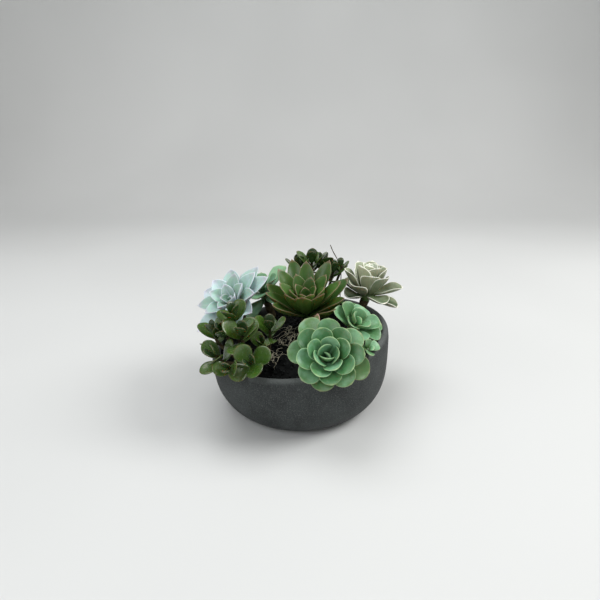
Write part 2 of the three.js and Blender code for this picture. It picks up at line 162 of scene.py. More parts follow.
# Jade bushes: where the trunk leaves the soil and its radius, then each shoot's crown, how
# far and where to it leans, the direction of its first pair, its longest leaf and its pairs.
JADE_BUSHES = {
    "jade_front": dict(root=(-68, -58), trunk=4.2, seed=21, shoots=[
        ((-84, -58, 152), 10, -95, -30, 31, 3),
        ((-73, -76, 134), 24, -90, 75, 35, 3),
        ((-113, -50, 124), 20, 180, 60, 31, 3),
        ((-106, -84, 108), 42, 225, 20, 32, 3),
        ((-61, -105, 109), 52, -88, 38, 33, 3),
        ((-86, -108, 101), 50, -115, 80, 28, 2),
        ((-97, -64, 132), 24, 215, 10, 29, 2),
    ]),
    "jade_middle": dict(root=(-42, -42), trunk=3.2, seed=22, shoots=[
        ((-40, -44.5, 128), 12, -90, 90, 33, 3),
        ((-50, -66, 115), 26, -100, 38, 25, 2),
    ]),
    "jade_back": dict(root=(28, 84), trunk=3.8, seed=23, shoots=[
        ((18, 83, 181), 6, -100, 80, 35, 3),
        ((0, 85, 174), 8, 170, 100, 33, 2),
        ((33, 88, 177), 10, 40, 30, 33, 2),
        ((50, 75, 169), 12, -20, 105, 31, 3),
        ((61.5, 77, 177), 8, 90, 90, 22, 2),
    ]),
}
JADE_PAIRS = [(0.6, 72, 4), (0.95, 48, 8), (1.0, 20, 14)]  # length share, rise, curl
JADE_PAIR_STEP = 8.0
JADE_WIDTH = 0.37
JADE_THICKNESS = 3.4
JADE_TWIG = 2.0

TWIG_ROUTE = [(63, 86, 100), (63, 88, 135), (63, 93, 170), (50, 88, 198), (46, 86, 208)]
TWIG_RADIUS = 0.9

# ---------------------------------------------------------------- meshes


def make_piece(name, parts, material, replaces=()):
    """One mesh object from parts of (points in mm, faces, {attribute: value per point})."""
    points, faces, start = [], [], 0
    names = sorted({key for part in parts for key in part[2]})
    values = {key: [] for key in names}
    for part_points, part_faces, attributes in parts:
        points.append(part_points)
        faces += [tuple(int(i) + start for i in face) for face in part_faces]
        for key in names:
            values[key].append(np.broadcast_to(attributes.get(key, 0.0), len(part_points)))
        start += len(part_points)
    mesh = bpy.data.meshes.new(name)
    mesh.from_pydata((np.concatenate(points) * MM).tolist(), [], faces)
    for key in names:
        layer = mesh.attributes.new(key, "FLOAT", "POINT")
        layer.data.foreach_set("value", np.concatenate(values[key]).astype(np.float32))
    mesh.polygons.foreach_set("use_smooth", np.ones(len(mesh.polygons), bool))
    mesh.materials.append(material)
    mesh.update()
    piece = bpy.data.objects.new(name, mesh)
    bpy.context.scene.collection.objects.link(piece)
    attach(piece, "root")
    if replaces:
        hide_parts(*replaces)


def tube_faces(rings, around):
    """Quads of a grid whose rows are rings, each joined round on itself."""
    row, step = np.meshgrid(np.arange(rings - 1), np.arange(around), indexing="ij")
    after = (step + 1) % around
    quads = np.stack([
        row * around + step, row * around + after,
        (row + 1) * around + after, (row + 1) * around + step,
    ], axis=-1)
    return quads.reshape(-1, 4).tolist()


def capped_tube_faces(rings, around):
    """The quads of a tube and the fans to its two end points, which follow the rings:
    first the point past the last ring, then the one before the first."""
    tip, foot = rings * around, rings * around + 1
    last = (rings - 1) * around
    faces = tube_faces(rings, around)
    for step in range(around):
        after = (step + 1) % around
        faces.append((last + step, last + after, tip))
        faces.append((foot, after, step))
    return faces


def smooth_route(points, count):
    """A Catmull-Rom curve through the points, at count even steps."""
    knots = np.array(points, float)
    padded = np.vstack([2 * knots[0] - knots[1], knots, 2 * knots[-1] - knots[-2]])
    along = np.linspace(0, len(knots) - 1, count)
    start = np.minimum(along.astype(int), len(knots) - 2)
    t = (along - start)[:, None]
    a, b, c, d = (padded[start + i] for i in range(4))
    return 0.5 * (2 * b + (c - a) * t + (2 * a - 5 * b + 4 * c - d) * t**2
                  + (3 * b - a - 3 * c + d) * t**3)


def tube(route, radius, around, bumps=None):
    """A round bar: circles of the given radii set square to the route's direction."""
    direction = np.gradient(route, axis=0)
    direction /= np.linalg.norm(direction, axis=1, keepdims=True)
    helper = np.where(np.abs(direction[:, 2:3]) < 0.9, [[0, 0, 1.0]], [[1.0, 0, 0]])
    side = np.cross(direction, helper)
    side /= np.linalg.norm(side, axis=1, keepdims=True)
    other = np.cross(direction, side)
    turn = np.linspace(0, 2 * math.pi, around, endpoint=False)
    size = np.broadcast_to(radius, len(route))[:, None]
    if bumps is not None:
        size = size + bumps
    rings = (route[:, None, :]
             + (size * np.cos(turn))[..., None] * side[:, None, :]
             + (size * np.sin(turn))[..., None] * other[:, None, :])
    points = np.vstack([rings.reshape(-1, 3), route[-1:], route[:1]])
    return points, capped_tube_faces(len(route), around)


# ---------------------------------------------------------------- leaves


def ramp(pair, age):
    young, old = pair[:2]
    power = pair[2] if len(pair) > 2 else 1.0
    return young + (old - young) * age**power


def outline_share(outline, s):
    """Share of the full half width at s: a sine from the foot to the widest place, then
    the closing curve (1 - x^a)^b to the tip."""
    foot, widest, a, b = OUTLINES[outline]
    rising = foot + (1 - foot) * np.sin(np.minimum(s / widest, 1) * math.pi / 2)
    x = np.clip((s - widest) / (1 - widest), 0, 1)
    return np.where(s < widest, rising, (1 - x**a) ** b)


def leaf_parts(leaves, outline, placed, stations=22, around=20):
    """Leaves as closed lens-shaped skins.

    A section at s is an ellipse as wide as the outline and as deep as the thickness,
    bent up towards its margins by 2 * cup * width * (across / width)^fold, with a ridge on
    the back and a channel on the face. It is carried along an arc that leaves the axis at the
    angle `rise` and turns by `curl`, is turned to its azimuth and moved by `placed`."""
    shape = {key: np.asarray(value, float).reshape(-1, 1, 1) for key, value in leaves.items()}
    step = np.linspace(0, 1, stations + 1)[:-1]
    s = (1 - (1 - step) ** 1.7)[None, :, None]
    turn = np.linspace(0, 2 * math.pi, around, endpoint=False)[None, None, :]
    share = outline_share(outline, s)
    width, length = shape["width"], shape["length"]
    across_share = np.cos(turn)
    half = width * share
    across = half * across_share
    closing = np.where(s < 0.6, 1.0, np.sqrt(np.clip(1 - ((s - 0.6) / 0.4) ** 2, 0, 1)))
    deep = shape["thickness"] / 2 * np.sin(turn) * closing
    middle = np.exp(-((across_share / 0.22) ** 2))
    back = np.sin(turn) < 0
    deep = deep - np.where(back, shape["keel"] * middle * np.sin(math.pi * s) ** 0.5, 0)
    deep = deep - np.where(back, 0, shape["groove"] * middle * (1 - s))
    ripple = shape["wave"] * np.sin(s * 9 + shape["turn"] * 6) * across_share**2 * s
    lift = deep + 2 * shape["cup"] * width * np.abs(across / width) ** shape["fold"] + ripple
    across = across + shape["sway"] * length * s**2
    roll = shape["twist"] * s
    across, lift = (across * np.cos(roll) - lift * np.sin(roll),
                    across * np.sin(roll) + lift * np.cos(roll))
    points = along_arc(shape, s, across, lift)
    tip = along_arc(shape, 1 + shape["point"] / length, shape["sway"] * length, 0 * length)
    foot = along_arc(shape, 0 * length, 0 * length, 0 * length)
    count = len(width)
    rim = np.minimum(half * (1 - np.abs(across_share)), (1 - s) * length * 0.8)
    rim = rim + 0 * points[..., 0]
    facts = {
        "rim": rim,
        "along": s + 0 * rim,
        "under": np.clip(0.5 - 1.5 * np.sin(turn), 0, 1) + 0 * rim,
        "middle": across_share + 0 * rim,
        "leaf_turn": shape["turn"] + 0 * rim,
        "age": shape["age"] + 0 * rim,
    }
    ends = {
        "rim": [0, width[:, 0, 0] * 0.3], "along": [1, 0], "under": [0.5, 0.5], "middle": [0, 0],
        "leaf_turn": [shape["turn"][:, 0, 0]] * 2, "age": [shape["age"][:, 0, 0]] * 2,
    }
    skin = np.concatenate([points.reshape(count, -1, 3), tip.reshape(count, 1, 3),
                           foot.reshape(count, 1, 3)], axis=1)
    skin = placed(skin)
    columns = {}
    for key, value in facts.items():
        end = [np.broadcast_to(v, count)[:, None] for v in ends[key]]
        columns[key] = np.concatenate([value.reshape(count, -1), *end], axis=1)
    base = capped_tube_faces(stations, around)
    size = skin.shape[1]
    faces = [tuple(i + size * leaf for i in face) for leaf in range(count) for face in base]
    return skin.reshape(-1, 3), faces, {key: value.reshape(-1) for key, value in columns.items()}


def along_arc(shape, s, across, lift):
    """Point of a leaf: along its arc by s, sideways by across and off its face by lift."""
    curl = np.where(np.abs(shape["curl"]) < 1e-3, 1e-3, shape["curl"])
    rise, length, azimuth = shape["rise"], shape["length"], shape["azimuth"]
    angle = rise + curl * s
    out = (shape["reach"] + length / curl * (np.sin(angle) - np.sin(rise)) - lift * np.sin(angle))
    up = (shape["height"] - length / curl * (np.cos(angle) - np.cos(rise)) + lift * np.cos(angle))
    x = out * np.cos(azimuth) - across * np.sin(azimuth)
    y = out * np.sin(azimuth) + across * np.cos(azimuth)
    return np.stack(np.broadcast_arrays(x, y, up), axis=-1)


def placement(heart, lean, toward):
    """A turn by `lean` about the level line square to the compass direction, then a move."""
    compass, tilt = math.radians(toward), math.radians(lean)
    k = np.array([-math.sin(compass), math.cos(compass), 0.0])
    cross = np.array([[0, -k[2], k[1]], [k[2], 0, -k[0]], [-k[1], k[0], 0]])
    turned = np.eye(3) + math.sin(tilt) * cross + (1 - math.cos(tilt)) * cross @ cross
    return lambda points: points @ turned.T + np.array(heart, float)


def core_radius(plant, age):
    return HEART_RADIUS + (plant["core"] - HEART_RADIUS) * np.sqrt(age)


def rosette_leaves(plant):
    """The spiral of leaves, youngest first, each turned by the golden angle."""
    count = plant["leaves"]
    number = np.arange(count)
    age = number / (count - 1)
    draw = np.random.default_rng(plant["seed"]).uniform(-1, 1, (5, count))
    nudge = np.zeros((3, count))
    nudge[2] = 1
    for leaf, swing, lift, stretch in plant.get("nudges", ()):
        nudge[:, leaf] = swing, lift, stretch
    return dict(
        reach=core_radius(plant, age) - 1.5,
        height=-plant["drop"] * age,
        azimuth=np.radians(plant["first"] + nudge[0] + 1.5 * draw[0] * age
                           + plant["hand"] * GOLDEN_ANGLE * number),
        rise=np.radians(ramp(plant["rise"], age) + nudge[1] + 1.5 * draw[1] * age),
        curl=np.radians(ramp(plant["curl"], age)),
        length=ramp(plant["length"], age) * nudge[2] * (1 + 0.02 * draw[2]),
        width=ramp(plant["width"], age),
        thickness=np.full(count, plant["thickness"]),
        cup=np.full(count, plant["cup"]),
        keel=np.full(count, plant["keel"]),
        groove=np.full(count, plant["groove"]),
        wave=np.full(count, plant["wave"]),
        fold=np.full(count, plant.get("fold", 2.0)),
        point=np.full(count, plant["point"]),
        sway=0.02 * draw[3],
        twist=0.12 * draw[4] * age,
        turn=(draw[3] + draw[4]) % 1,
        age=age,
    )


def soil_height(x, y):
    radius = np.hypot(x, y)
    mound = SOIL_LEVEL + SOIL_CROWN * (1 - (radius / SOIL_RADIUS) ** 2)
    return slanted_height(x, y, mound)


def slanted_height(x, y, z):
    """The lip's slant: heights above SLANT_START rise and fall with the compass."""
    share = np.clip((z - SLANT_START) / (RIM_HEIGHT - SLANT_START), 0, 1)
    eased = share**2 * (3 - 2 * share)
    high = math.radians(RIM_HIGH_SIDE)
    return z + RIM_SLANT * eased * (x * math.cos(high) + y * math.sin(high)) / BELLY_RADIUS


def stem_part(route, radius, seed, steps=24, around=14):
    """A stem with faint leaf-scar rings: its radius ripples along the route."""
    line = smooth_route(route, steps)
    draw = np.random.default_rng(seed).uniform(-1, 1, (steps, around))
    along = np.linspace(0, 1, steps)[:, None]
    scars = 0.06 * radius * np.sin(along * 40) + 0.04 * radius * draw
    points, faces = tube(line, radius, around, scars)
    return points, faces, {"along": np.concatenate([np.repeat(along[:, 0], around), [1, 0]])}


def core_part(plant, placed, around=18):
    """The blunt cone that the leaf feet are sunk in."""
    ages = np.array([1, 0.75, 0.5, 0.3, 0.15, 0.05, 0.0])
    foot = -plant["drop"] - 8
    heights = np.concatenate([[foot, foot + 4], 1 - (plant["drop"] + 2) * ages])
    radii = np.concatenate([[plant["stem"], plant["stem"] + 0.5], core_radius(plant, ages)])
    turn = np.linspace(0, 2 * math.pi, around, endpoint=False)
    rings = np.stack([radii[:, None] * np.cos(turn), radii[:, None] * np.sin(turn),
                      heights[:, None] + 0 * turn], axis=-1)
    ends = [[0, 0, 2.0], [0, 0, foot]]
    points = placed(np.vstack([rings.reshape(-1, 3), ends]))
    return points, capped_tube_faces(len(radii), around), {"along": 0.1, "age": 0.5, "rim": 4.0}


def rooted(x, y):
    """A stem runs straight up out of the soil before it bends."""
    top = float(soil_height(x, y))
    return [(x, y, STEM_FOOT), (x, y, top - 8), (x, y, top + 5)]


def build_rosette(name, plant, material):
    placed = placement(plant["heart"], plant["lean"], plant["toward"])
    leaves = leaf_parts(rosette_leaves(plant), plant["outline"], placed)
    make_piece(name + "_leaves", [leaves, core_part(plant, placed)], material, [name])
    neck = placed(np.array([0, 0, -plant["drop"] - 6.0]))
    return stem_part([*rooted(*plant["root"]), tuple(neck)], plant["stem"], plant["seed"])


# ---------------------------------------------------------------- jade bushes


def jade_leaves(shoot, seed):
    """Leaf pairs at right angles down a shoot, each a little different."""
    first, leaf, pairs = shoot[3:]
    rows = [(share, rise, curl, first + side + 90 * pair, -JADE_PAIR_STEP * pair)
            for pair, (share, rise, curl) in enumerate(JADE_PAIRS[:pairs]) for side in (0, 180)]
    share, rise, curl, azimuth, height = np.array(rows).T
    count = len(rows)
    draw = np.random.default_rng(seed).uniform(-1, 1, (6, count))
    length = leaf * share * (1 + 0.04 * draw[0])
    same = np.ones(count)
    return dict(
        reach=1.1 * same, height=height, azimuth=np.radians(azimuth + 5 * draw[1]),
        rise=np.radians(rise + 4 * draw[2]), curl=np.radians(curl), length=length,
        width=length * JADE_WIDTH, thickness=JADE_THICKNESS * same, cup=0.1 * same,
        keel=0 * same, groove=0.1 * same, wave=0.2 * same, fold=2 * same, point=0.3 * same,
        sway=0.03 * draw[3], twist=0.2 * draw[4], turn=draw[5] * 0.5 + 0.5,
        age=1 - share,
    )


def build_jade(name, bush, material):
    x, y = bush["root"]
    fork = float(soil_height(x, y)) + 6
    parts = []
    stems = [stem_part([(x, y, STEM_FOOT), (x, y, (STEM_FOOT + fork) / 2), (x, y, fork)],
                       bush["trunk"], bush["seed"], steps=12)]
    for number, shoot in enumerate(bush["shoots"]):
        crown, lean, toward, _, _, pairs = shoot
        placed = placement(crown, lean, toward)
        leaves = jade_leaves(shoot, bush["seed"] * 100 + number)
        parts.append(leaf_parts(leaves, "jade", placed, stations=16, around=16))
        low = placed(np.array([0, 0, (1 - pairs) * JADE_PAIR_STEP]))
        top = placed(np.array([0, 0, 2.0]))
        near = (x + (crown[0] - x) * 0.3, y + (crown[1] - y) * 0.3, fork)
        stems.append(stem_part([(x, y, fork - 4), near, tuple(low), tuple(top)], JADE_TWIG,
                               bush["seed"] + number, steps=18, around=9))
    make_piece(name + "_leaves", parts, material, [name])
    return stems


# ---------------------------------------------------------------- bowl and soil


def bowl_curve(count, inset):
    """The lower bowl swells from the foot to the belly along a superellipse."""
    turn = np.linspace(0, math.pi / 2, count)
    radius = FOOT_RADIUS + (BELLY_RADIUS - FOOT_RADIUS) * np.sin(turn) ** (2 / SIDE_ROUNDNESS)
    height = BELLY_HEIGHT * (1 - np.clip(np.cos(turn), 0, 1) ** (2 / UNDER_ROUNDNESS))
    return np.stack([radius - inset, height], axis=1)


def turned_shell(profile, around):
    """A profile of (radius, height) turned about the Z axis, as grids of x, y and z; the callers close
    it at both poles.
    """
    turn = np.linspace(0, 2 * math.pi, around, endpoint=False)
    x = profile[:, :1] * np.cos(turn)
    y = profile[:, :1] * np.sin(turn)
    z = profile[:, 1:] + 0 * x
    return x, y, z


def build_pot(material):
    outside = bowl_curve(60, 0)
    lip = np.array(LIP, float)
    lip = smooth_route(np.column_stack([lip, np.zeros(len(lip))]), 34)[:, :2]
    inside = bowl_curve(40, WALL)[::-1]
    inside = inside[inside[:, 1] > FLOOR]
    soft_foot = [(FOOT_RADIUS - 2.5, 0.0)]
    profile = np.vstack([soft_foot, outside[outside[:, 1] > 0.35], lip, inside, [(84, FLOOR)]])
    x, y, z = turned_shell(profile, BOWL_SEGMENTS)
    turn = np.arctan2(y, x)
    hand = 0.25 * np.sin(3 * turn + z * 0.05) + 0.18 * np.sin(7 * turn - z * 0.11)
    fade = np.clip(z / 20, 0, 1)
    radius = np.hypot(x, y) + hand * fade
    x, y = radius * np.cos(turn), radius * np.sin(turn)
    # painted highlight: the top of the lip is made paler, as where it catches the light
    painted_lip_highlight = np.append(np.clip((z - 97) / 5, 0, 1).ravel(), [0, 0])
    z = slanted_height(x, y, z)
    points = np.vstack([np.stack([x, y, z], -1).reshape(-1, 3), [[0, 0, FLOOR]], [[0, 0, 0]]])
    faces = capped_tube_faces(len(profile), BOWL_SEGMENTS)
    make_piece("bowl", [(points, faces, {"lip": painted_lip_highlight})], material, ["pot"])


def lumps(x, y, scale, seed):
    """Soft noise: twelve crossing sine ripples with drawn directions and phases."""
    draw = np.random.default_rng(seed).uniform(0, 2 * math.pi, (12, 2))
    total = 0 * x
    for direction, phase in draw:
        total = total + np.sin((x * math.cos(direction) + y * math.sin(direction)) / scale + phase)
    return total / 5


def soil_relief(x, y):
    """Low swells of the soil: crossed sine ripples and one slanting ripple."""
    swell = np.sin(x * 0.31 + 1.3) * np.sin(y * 0.27 + 0.4)
    return SOIL_LUMP * (swell + 0.6 * np.sin(x * 0.13 - y * 0.19))


def build_soil(material):
    radii = np.linspace(SOIL_RADIUS, 2, 90)
    wall = bowl_curve(24, WALL + 0.5)
    wall = wall[wall[:, 1] > FLOOR + 1]
    mound = SOIL_LEVEL + SOIL_CROWN * (1 - (radii / SOIL_RADIUS) ** 2)
    profile = np.vstack([
        [(86 - 0.5, FLOOR + 0.4)], wall, [(113.8, 82)], np.column_stack([radii, mound]),
    ])
    x, y, z = turned_shell(profile, SOIL_SEGMENTS)
    top = (z > SOIL_LEVEL - 0.1).astype(float)
    relief = soil_relief(x, y) + 0.9 * lumps(x, y, 2.6, 31) + 0.5 * lumps(x, y, 1.1, 32)
    inward = np.clip((SOIL_RADIUS - np.hypot(x, y)) / 4, 0, 1)
    z = slanted_height(x, y, z + relief * top * inward)
    points = np.stack([x, y, z], -1).reshape(-1, 3)
    points = np.vstack([points, points[-SOIL_SEGMENTS:].mean(0), [[0, 0, FLOOR + 0.4]]])
    faces = capped_tube_faces(len(profile), SOIL_SEGMENTS)
    make_piece("soil_bed", [(points, faces, {})], material, ["soil"])


def build_gravel(material):
    """Grit on the soil: balls of 5 by 7 points pulled out of round by drawn amounts."""
    rng = np.random.default_rng(41)
    count = GRIT_GRAINS
    radius = 111 * np.sqrt(rng.uniform(0, 1, count))
    turn = rng.uniform(0, 2 * math.pi, count)
    x, y = radius * np.cos(turn), radius * np.sin(turn)
    size = rng.uniform(*GRIT_RADII, count)
    z = soil_height(x, y) + soil_relief(x, y) + 0.3 * size
    tall = np.linspace(-1, 1, 7)[1:-1]
    around = np.linspace(0, 2 * math.pi, 7, endpoint=False)
    ring = np.sqrt(1 - tall**2)
    ball = np.stack([ring[:, None] * np.cos(around), ring[:, None] * np.sin(around),
                     tall[:, None] + 0 * around], -1).reshape(-1, 3)
    ball = np.vstack([ball, [[0, 0, 1]], [[0, 0, -1]]])
    stretch = rng.uniform(0.6, 1.3, (count, 1, 3))
    rough = rng.uniform(0.78, 1.12, (count, len(ball), 1))
    points = ball[None] * rough * stretch * size[:, None, None]
    points = points + np.stack([x, y, z], -1)[:, None, :]
    base = capped_tube_faces(5, 7)
    faces = [tuple(i + k * len(ball) for i in face) for k in range(count) for face in base]
    shade = np.repeat(rng.uniform(0, 1, count), len(ball))
    make_piece("soil_grit", [(points.reshape(-1, 3), faces, {"leaf_turn": shade})], material)


# Patches of dry root fibres on the soil: centre, radius and number of fibres.
FIBRE_STEPS = 18
FIBRE_PATCHES = [((-12, -8), 13, 14), ((-22, -28), 12, 12), ((-36, -58), 9, 10)]


def build_fibres(material):
    """Dry root fibres: short arcs that wander over the soil and rise a little."""
    rng = np.random.default_rng(51)
    parts = []
    for (cx, cy), reach, count in FIBRE_PATCHES:
        for _ in range(count):
            heading = rng.uniform(0, 2 * math.pi)
            bend = rng.uniform(-0.14, 0.14)
            length = rng.uniform(18, 40)
            steps = np.linspace(0, 1, FIBRE_STEPS)
            way = heading + bend * length * (steps - 0.5) + 0.9 * np.sin(steps * 9 + heading)
            x = cx + rng.normal(0, reach * 0.4) + np.cumsum(np.cos(way)) * length / FIBRE_STEPS
            y = cy + rng.normal(0, reach * 0.4) + np.cumsum(np.sin(way)) * length / FIBRE_STEPS
            arch = rng.uniform(0.5, 8) * np.sin(math.pi * steps) ** 1.2
            z = soil_height(x, y) + 1.2 + arch
            radius = rng.uniform(0.2, 0.36) * (1 - 0.5 * steps)
            points, faces = tube(np.column_stack([x, y, z]), radius, 4)
            parts.append((points, faces, {"leaf_turn": rng.uniform(0, 1)}))
    make_piece("root_fibres", parts, material)


def build_twig(material):
    """The dry twig at the back, knotty and thinner towards its broken top."""
    main = smooth_route([(63, 86, STEM_FOOT), *TWIG_ROUTE], 60)
    knots = 0.12 * np.sin(np.linspace(0, 44, 60)) ** 3
    points, faces = tube(main, np.linspace(TWIG_RADIUS, 0.6, 60) + knots, 8)
    make_piece("dry_twig", [(points, faces, {"leaf_turn": 0.5})], material, ["twig"])


# ---------------------------------------------------------------- materials


def srgb(red, green, blue):
    """A colour given as 0 to 255 display values, as the linear values shaders take."""
    share = np.array([red, green, blue]) / 255
    linear = np.where(share <= 0.04045, share / 12.92, ((share + 0.055) / 1.055) ** 2.4)
    return (*linear.tolist(), 1.0)


def add_node(tree, kind, settings=(), inputs=()):
    node = tree.nodes.new(kind)
    for key, value in dict(settings).items():
        setattr(node, key, value)
    for key, value in dict(inputs).items():
        if isinstance(value, bpy.types.NodeSocket):
            tree.links.new(value, node.inputs[key])
        else:
            node.inputs[key].default_value = value
    return node


def attribute(tree, name):
    return add_node(tree, "ShaderNodeAttribute", {"attribute_name": name}).outputs["Fac"]


def between(tree, value, low, high, start=0.0, end=1.0):
    """A smooth step of value from low to high."""
    return add_node(tree, "ShaderNodeMapRange", {"interpolation_type": "SMOOTHSTEP"}, {
        "Value": value, "From Min": low, "From Max": high, "To Min": start, "To Max": end,
    }).outputs["Result"]


def times(tree, a, b):
    return add_node(tree, "ShaderNodeMath", {"operation": "MULTIPLY"}, {0: a, 1: b}).outputs[0]


def plus(tree, a, b):
    return add_node(tree, "ShaderNodeMath", {"operation": "ADD"}, {0: a, 1: b}).outputs[0]


def blend(tree, share, a, b, how="MIX"):
    mix = add_node(tree, "ShaderNodeMix", {"data_type": "RGBA", "blend_type": how})
    for socket, value in ((mix.inputs[0], share), (mix.inputs[6], a), (mix.inputs[7], b)):
        if isinstance(value, bpy.types.NodeSocket):
            tree.links.new(value, socket)
        else:
            socket.default_value = value
    return mix.outputs[2]


def noise(tree, scale, detail=3.0, rough=0.5, offset=0.0):
    place = add_node(tree, "ShaderNodeTexCoord").outputs["Object"]
    if offset:
        moved = {"Vector": place, "Location": (offset,) * 3}
        place = add_node(tree, "ShaderNodeMapping", {}, moved).outputs[0]
    return add_node(tree, "ShaderNodeTexNoise", {}, {
        "Vector": place, "Scale": scale, "Detail": detail, "Roughness": rough,
    }).outputs["Fac"]


def new_group(name, inputs, outputs):
    """A shader node group with named sockets: inputs are {name: colour or number}."""
    tree = bpy.data.node_groups.new(name, "ShaderNodeTree")
    for key, value in inputs.items():
        kind = "NodeSocketColor" if isinstance(value, tuple) else "NodeSocketFloat"
        socket = tree.interface.new_socket(key, in_out="INPUT", socket_type=kind)
        socket.default_value = value
    for key, kind in outputs.items():
        tree.interface.new_socket(key, in_out="OUTPUT", socket_type=kind)
    entry = tree.nodes.new("NodeGroupInput").outputs
    leave = tree.nodes.new("NodeGroupOutput").inputs
    return tree, entry, leave


def leaf_skin_group():
    """Leaf colouring: heart, face and foot, the back, the oldest leaves' tone, a dusty bloom,
    painted fold highlight, flushed tip and margin line, leaf-to-leaf variation and a fine mottle."""
    white = (1.0, 1.0, 1.0, 1.0)
    tree, entry, leave = new_group("leaf_skin", {
        "Face": white, "Heart": white, "Foot": white, "Back": white, "Margin": white, "Tip": white,
        "Old": white, "Old Start": 0.55, "Old Strength": 0.0, "Wax": white, "Bloom": 0.0,
        "Blush": white, "Blush Strength": 0.0, "Margin Width": 1.0, "Margin Strength": 1.0,
        "Tip Start": 0.85, "Tip Strength": 1.0, "Foot End": 0.5, "Mottle": 0.15, "Roughness": 0.5,
        "Fold Highlight": 0.0,
    }, {"Color": "NodeSocketColor", "Roughness": "NodeSocketFloat", "Height": "NodeSocketFloat"})
    rim, along = attribute(tree, "rim"), attribute(tree, "along")
    under, shade, age = attribute(tree, "under"), attribute(tree, "leaf_turn"), attribute(tree, "age")
    middle = attribute(tree, "middle")
    colour = blend(tree, between(tree, age, 0.0, 0.35, 1.0, 0.0), entry["Face"], entry["Heart"])
    # painted shade: on the rosettes the foot colour is darker than the face, for the shade where the
    # leaves overlap towards the heart
    foot = between(tree, along, 0.05, entry["Foot End"], 1.0, 0.0)
    colour = blend(tree, foot, colour, entry["Foot"])
    old = times(tree, between(tree, age, entry["Old Start"], 1.0), entry["Old Strength"])
    blotch = between(tree, noise(tree, 45.0, 2.0), 0.35, 0.65)
    old = times(tree, old, plus(tree, times(tree, blotch, 0.5), 0.5))
    colour = blend(tree, times(tree, under, 0.85), colour, entry["Back"])
    colour = blend(tree, old, colour, entry["Old"])
    dusty = plus(tree, noise(tree, 70.0, 3.0, 0.6, 1.7), times(tree, plus(tree, shade, -0.5), 0.35))
    bloom = times(tree, between(tree, dusty, 0.4, 0.72), entry["Bloom"])
    colour = blend(tree, bloom, colour, entry["Wax"])
    off_middle = add_node(tree, "ShaderNodeMath", {"operation": "ABSOLUTE"}, {0: middle}).outputs[0]
    # painted highlight: a lighter line of the margin colour down the middle fold
    fold_highlight = between(tree, off_middle, 0.0, 0.16, 1.0, 0.0)
    fold_highlight = times(tree, times(tree, fold_highlight, entry["Fold Highlight"]), between(tree, along, 1.0, 0.4))
    colour = blend(tree, fold_highlight, colour, entry["Margin"])
    tip = times(tree, between(tree, along, entry["Tip Start"], 1.0), entry["Tip Strength"])
    colour = blend(tree, tip, colour, entry["Tip"])
    edge = between(tree, rim, times(tree, entry["Margin Width"], 0.35), entry["Margin Width"], 1.0, 0.0)
    edge = times(tree, times(tree, edge, entry["Margin Strength"]), between(tree, along, 0.15, 0.5))
    blush = times(tree, between(tree, age, 0.45, 1.0), entry["Blush Strength"])
    colour = blend(tree, edge, colour, blend(tree, blush, entry["Margin"], entry["Blush"]))
    fine, coarse = noise(tree, 220.0, 4.0), noise(tree, 35.0, 2.0)
    grain = plus(tree, times(tree, fine, 0.6), times(tree, coarse, 0.4))
    light = plus(tree, 1.0, times(tree, plus(tree, grain, -0.5), times(tree, entry["Mottle"], 3.0)))
    light = times(tree, light, plus(tree, times(tree, shade, 0.36), 0.82))
    hue = plus(tree, 0.5, times(tree, plus(tree, noise(tree, 25.0, 1.0, 0.5, 4.0), -0.5), 0.05))
    bright = add_node(tree, "ShaderNodeHueSaturation", {}, {
        "Hue": hue, "Value": light, "Color": colour,
    })
    tree.links.new(bright.outputs[0], leave["Color"])
    rough = plus(tree, entry["Roughness"], times(tree, plus(tree, noise(tree, 300.0), -0.5), 0.25))
    tree.links.new(rough, leave["Roughness"])
    tree.links.new(noise(tree, 900.0, 3.0, 0.6), leave["Height"])
    return tree


LEAF_SKIN = leaf_skin_group()


def new_material(name):
    material = bpy.data.materials.new(name)
    material.use_nodes = True
    tree = material.node_tree
    shader = tree.nodes["Principled BSDF"]
    return material, tree, shader


def leaf_material(name, skin, **constants):
    """A leaf's material: the shared skin group drives colour, roughness and bump."""
    material, tree, shader = new_material(name)
    group = add_node(tree, "ShaderNodeGroup", {"node_tree": LEAF_SKIN}, skin)
    tree.links.new(group.outputs["Color"], shader.inputs["Base Color"])
    tree.links.new(group.outputs["Roughness"], shader.inputs["Roughness"])
    bump = add_node(tree, "ShaderNodeBump", {}, {
        "Height": group.outputs["Height"], "Strength": 0.25, "Distance": 0.0004,
    })
    tree.links.new(bump.outputs[0], shader.inputs["Normal"])
    for key, value in constants.items():
        shader.inputs[key.replace("_", " ")].default_value = value
    return material


def stone_material():
    """Charcoal stone: cloudy tone, pale and dark specks, small pits and a painted lip highlight."""
    material, tree, shader = new_material("charcoal_stone")
    cloud = between(tree, noise(tree, 18.0, 6.0, 0.68), 0.3, 0.7)
    colour = blend(tree, cloud, srgb(28, 32, 33), srgb(50, 55, 55))
    speck = between(tree, noise(tree, 760.0, 2.0, 0.7), 0.5, 0.68)
    colour = blend(tree, times(tree, speck, 0.4), colour, srgb(104, 110, 108))
    dark = between(tree, noise(tree, 620.0, 2.0, 0.7, 3.0), 0.62, 0.74)
    colour = blend(tree, times(tree, dark, 0.6), colour, srgb(26, 30, 31))
    # painted highlight along the lip: its top is blended towards a pale grey
    colour = blend(tree, times(tree, attribute(tree, "lip"), 0.3), colour, srgb(128, 134, 132))
    tree.links.new(colour, shader.inputs["Base Color"])
    rough = plus(tree, 0.62, times(tree, noise(tree, 60.0), 0.25))
    tree.links.new(rough, shader.inputs["Roughness"])
    height = plus(tree, times(tree, noise(tree, 700.0, 4.0, 0.65), 1.0), times(tree, dark, -0.8))
    bump = add_node(tree, "ShaderNodeBump", {}, {
        "Height": height, "Strength": 0.45, "Distance": 0.0005,
    })
    tree.links.new(bump.outputs[0], shader.inputs["Normal"])
    return material


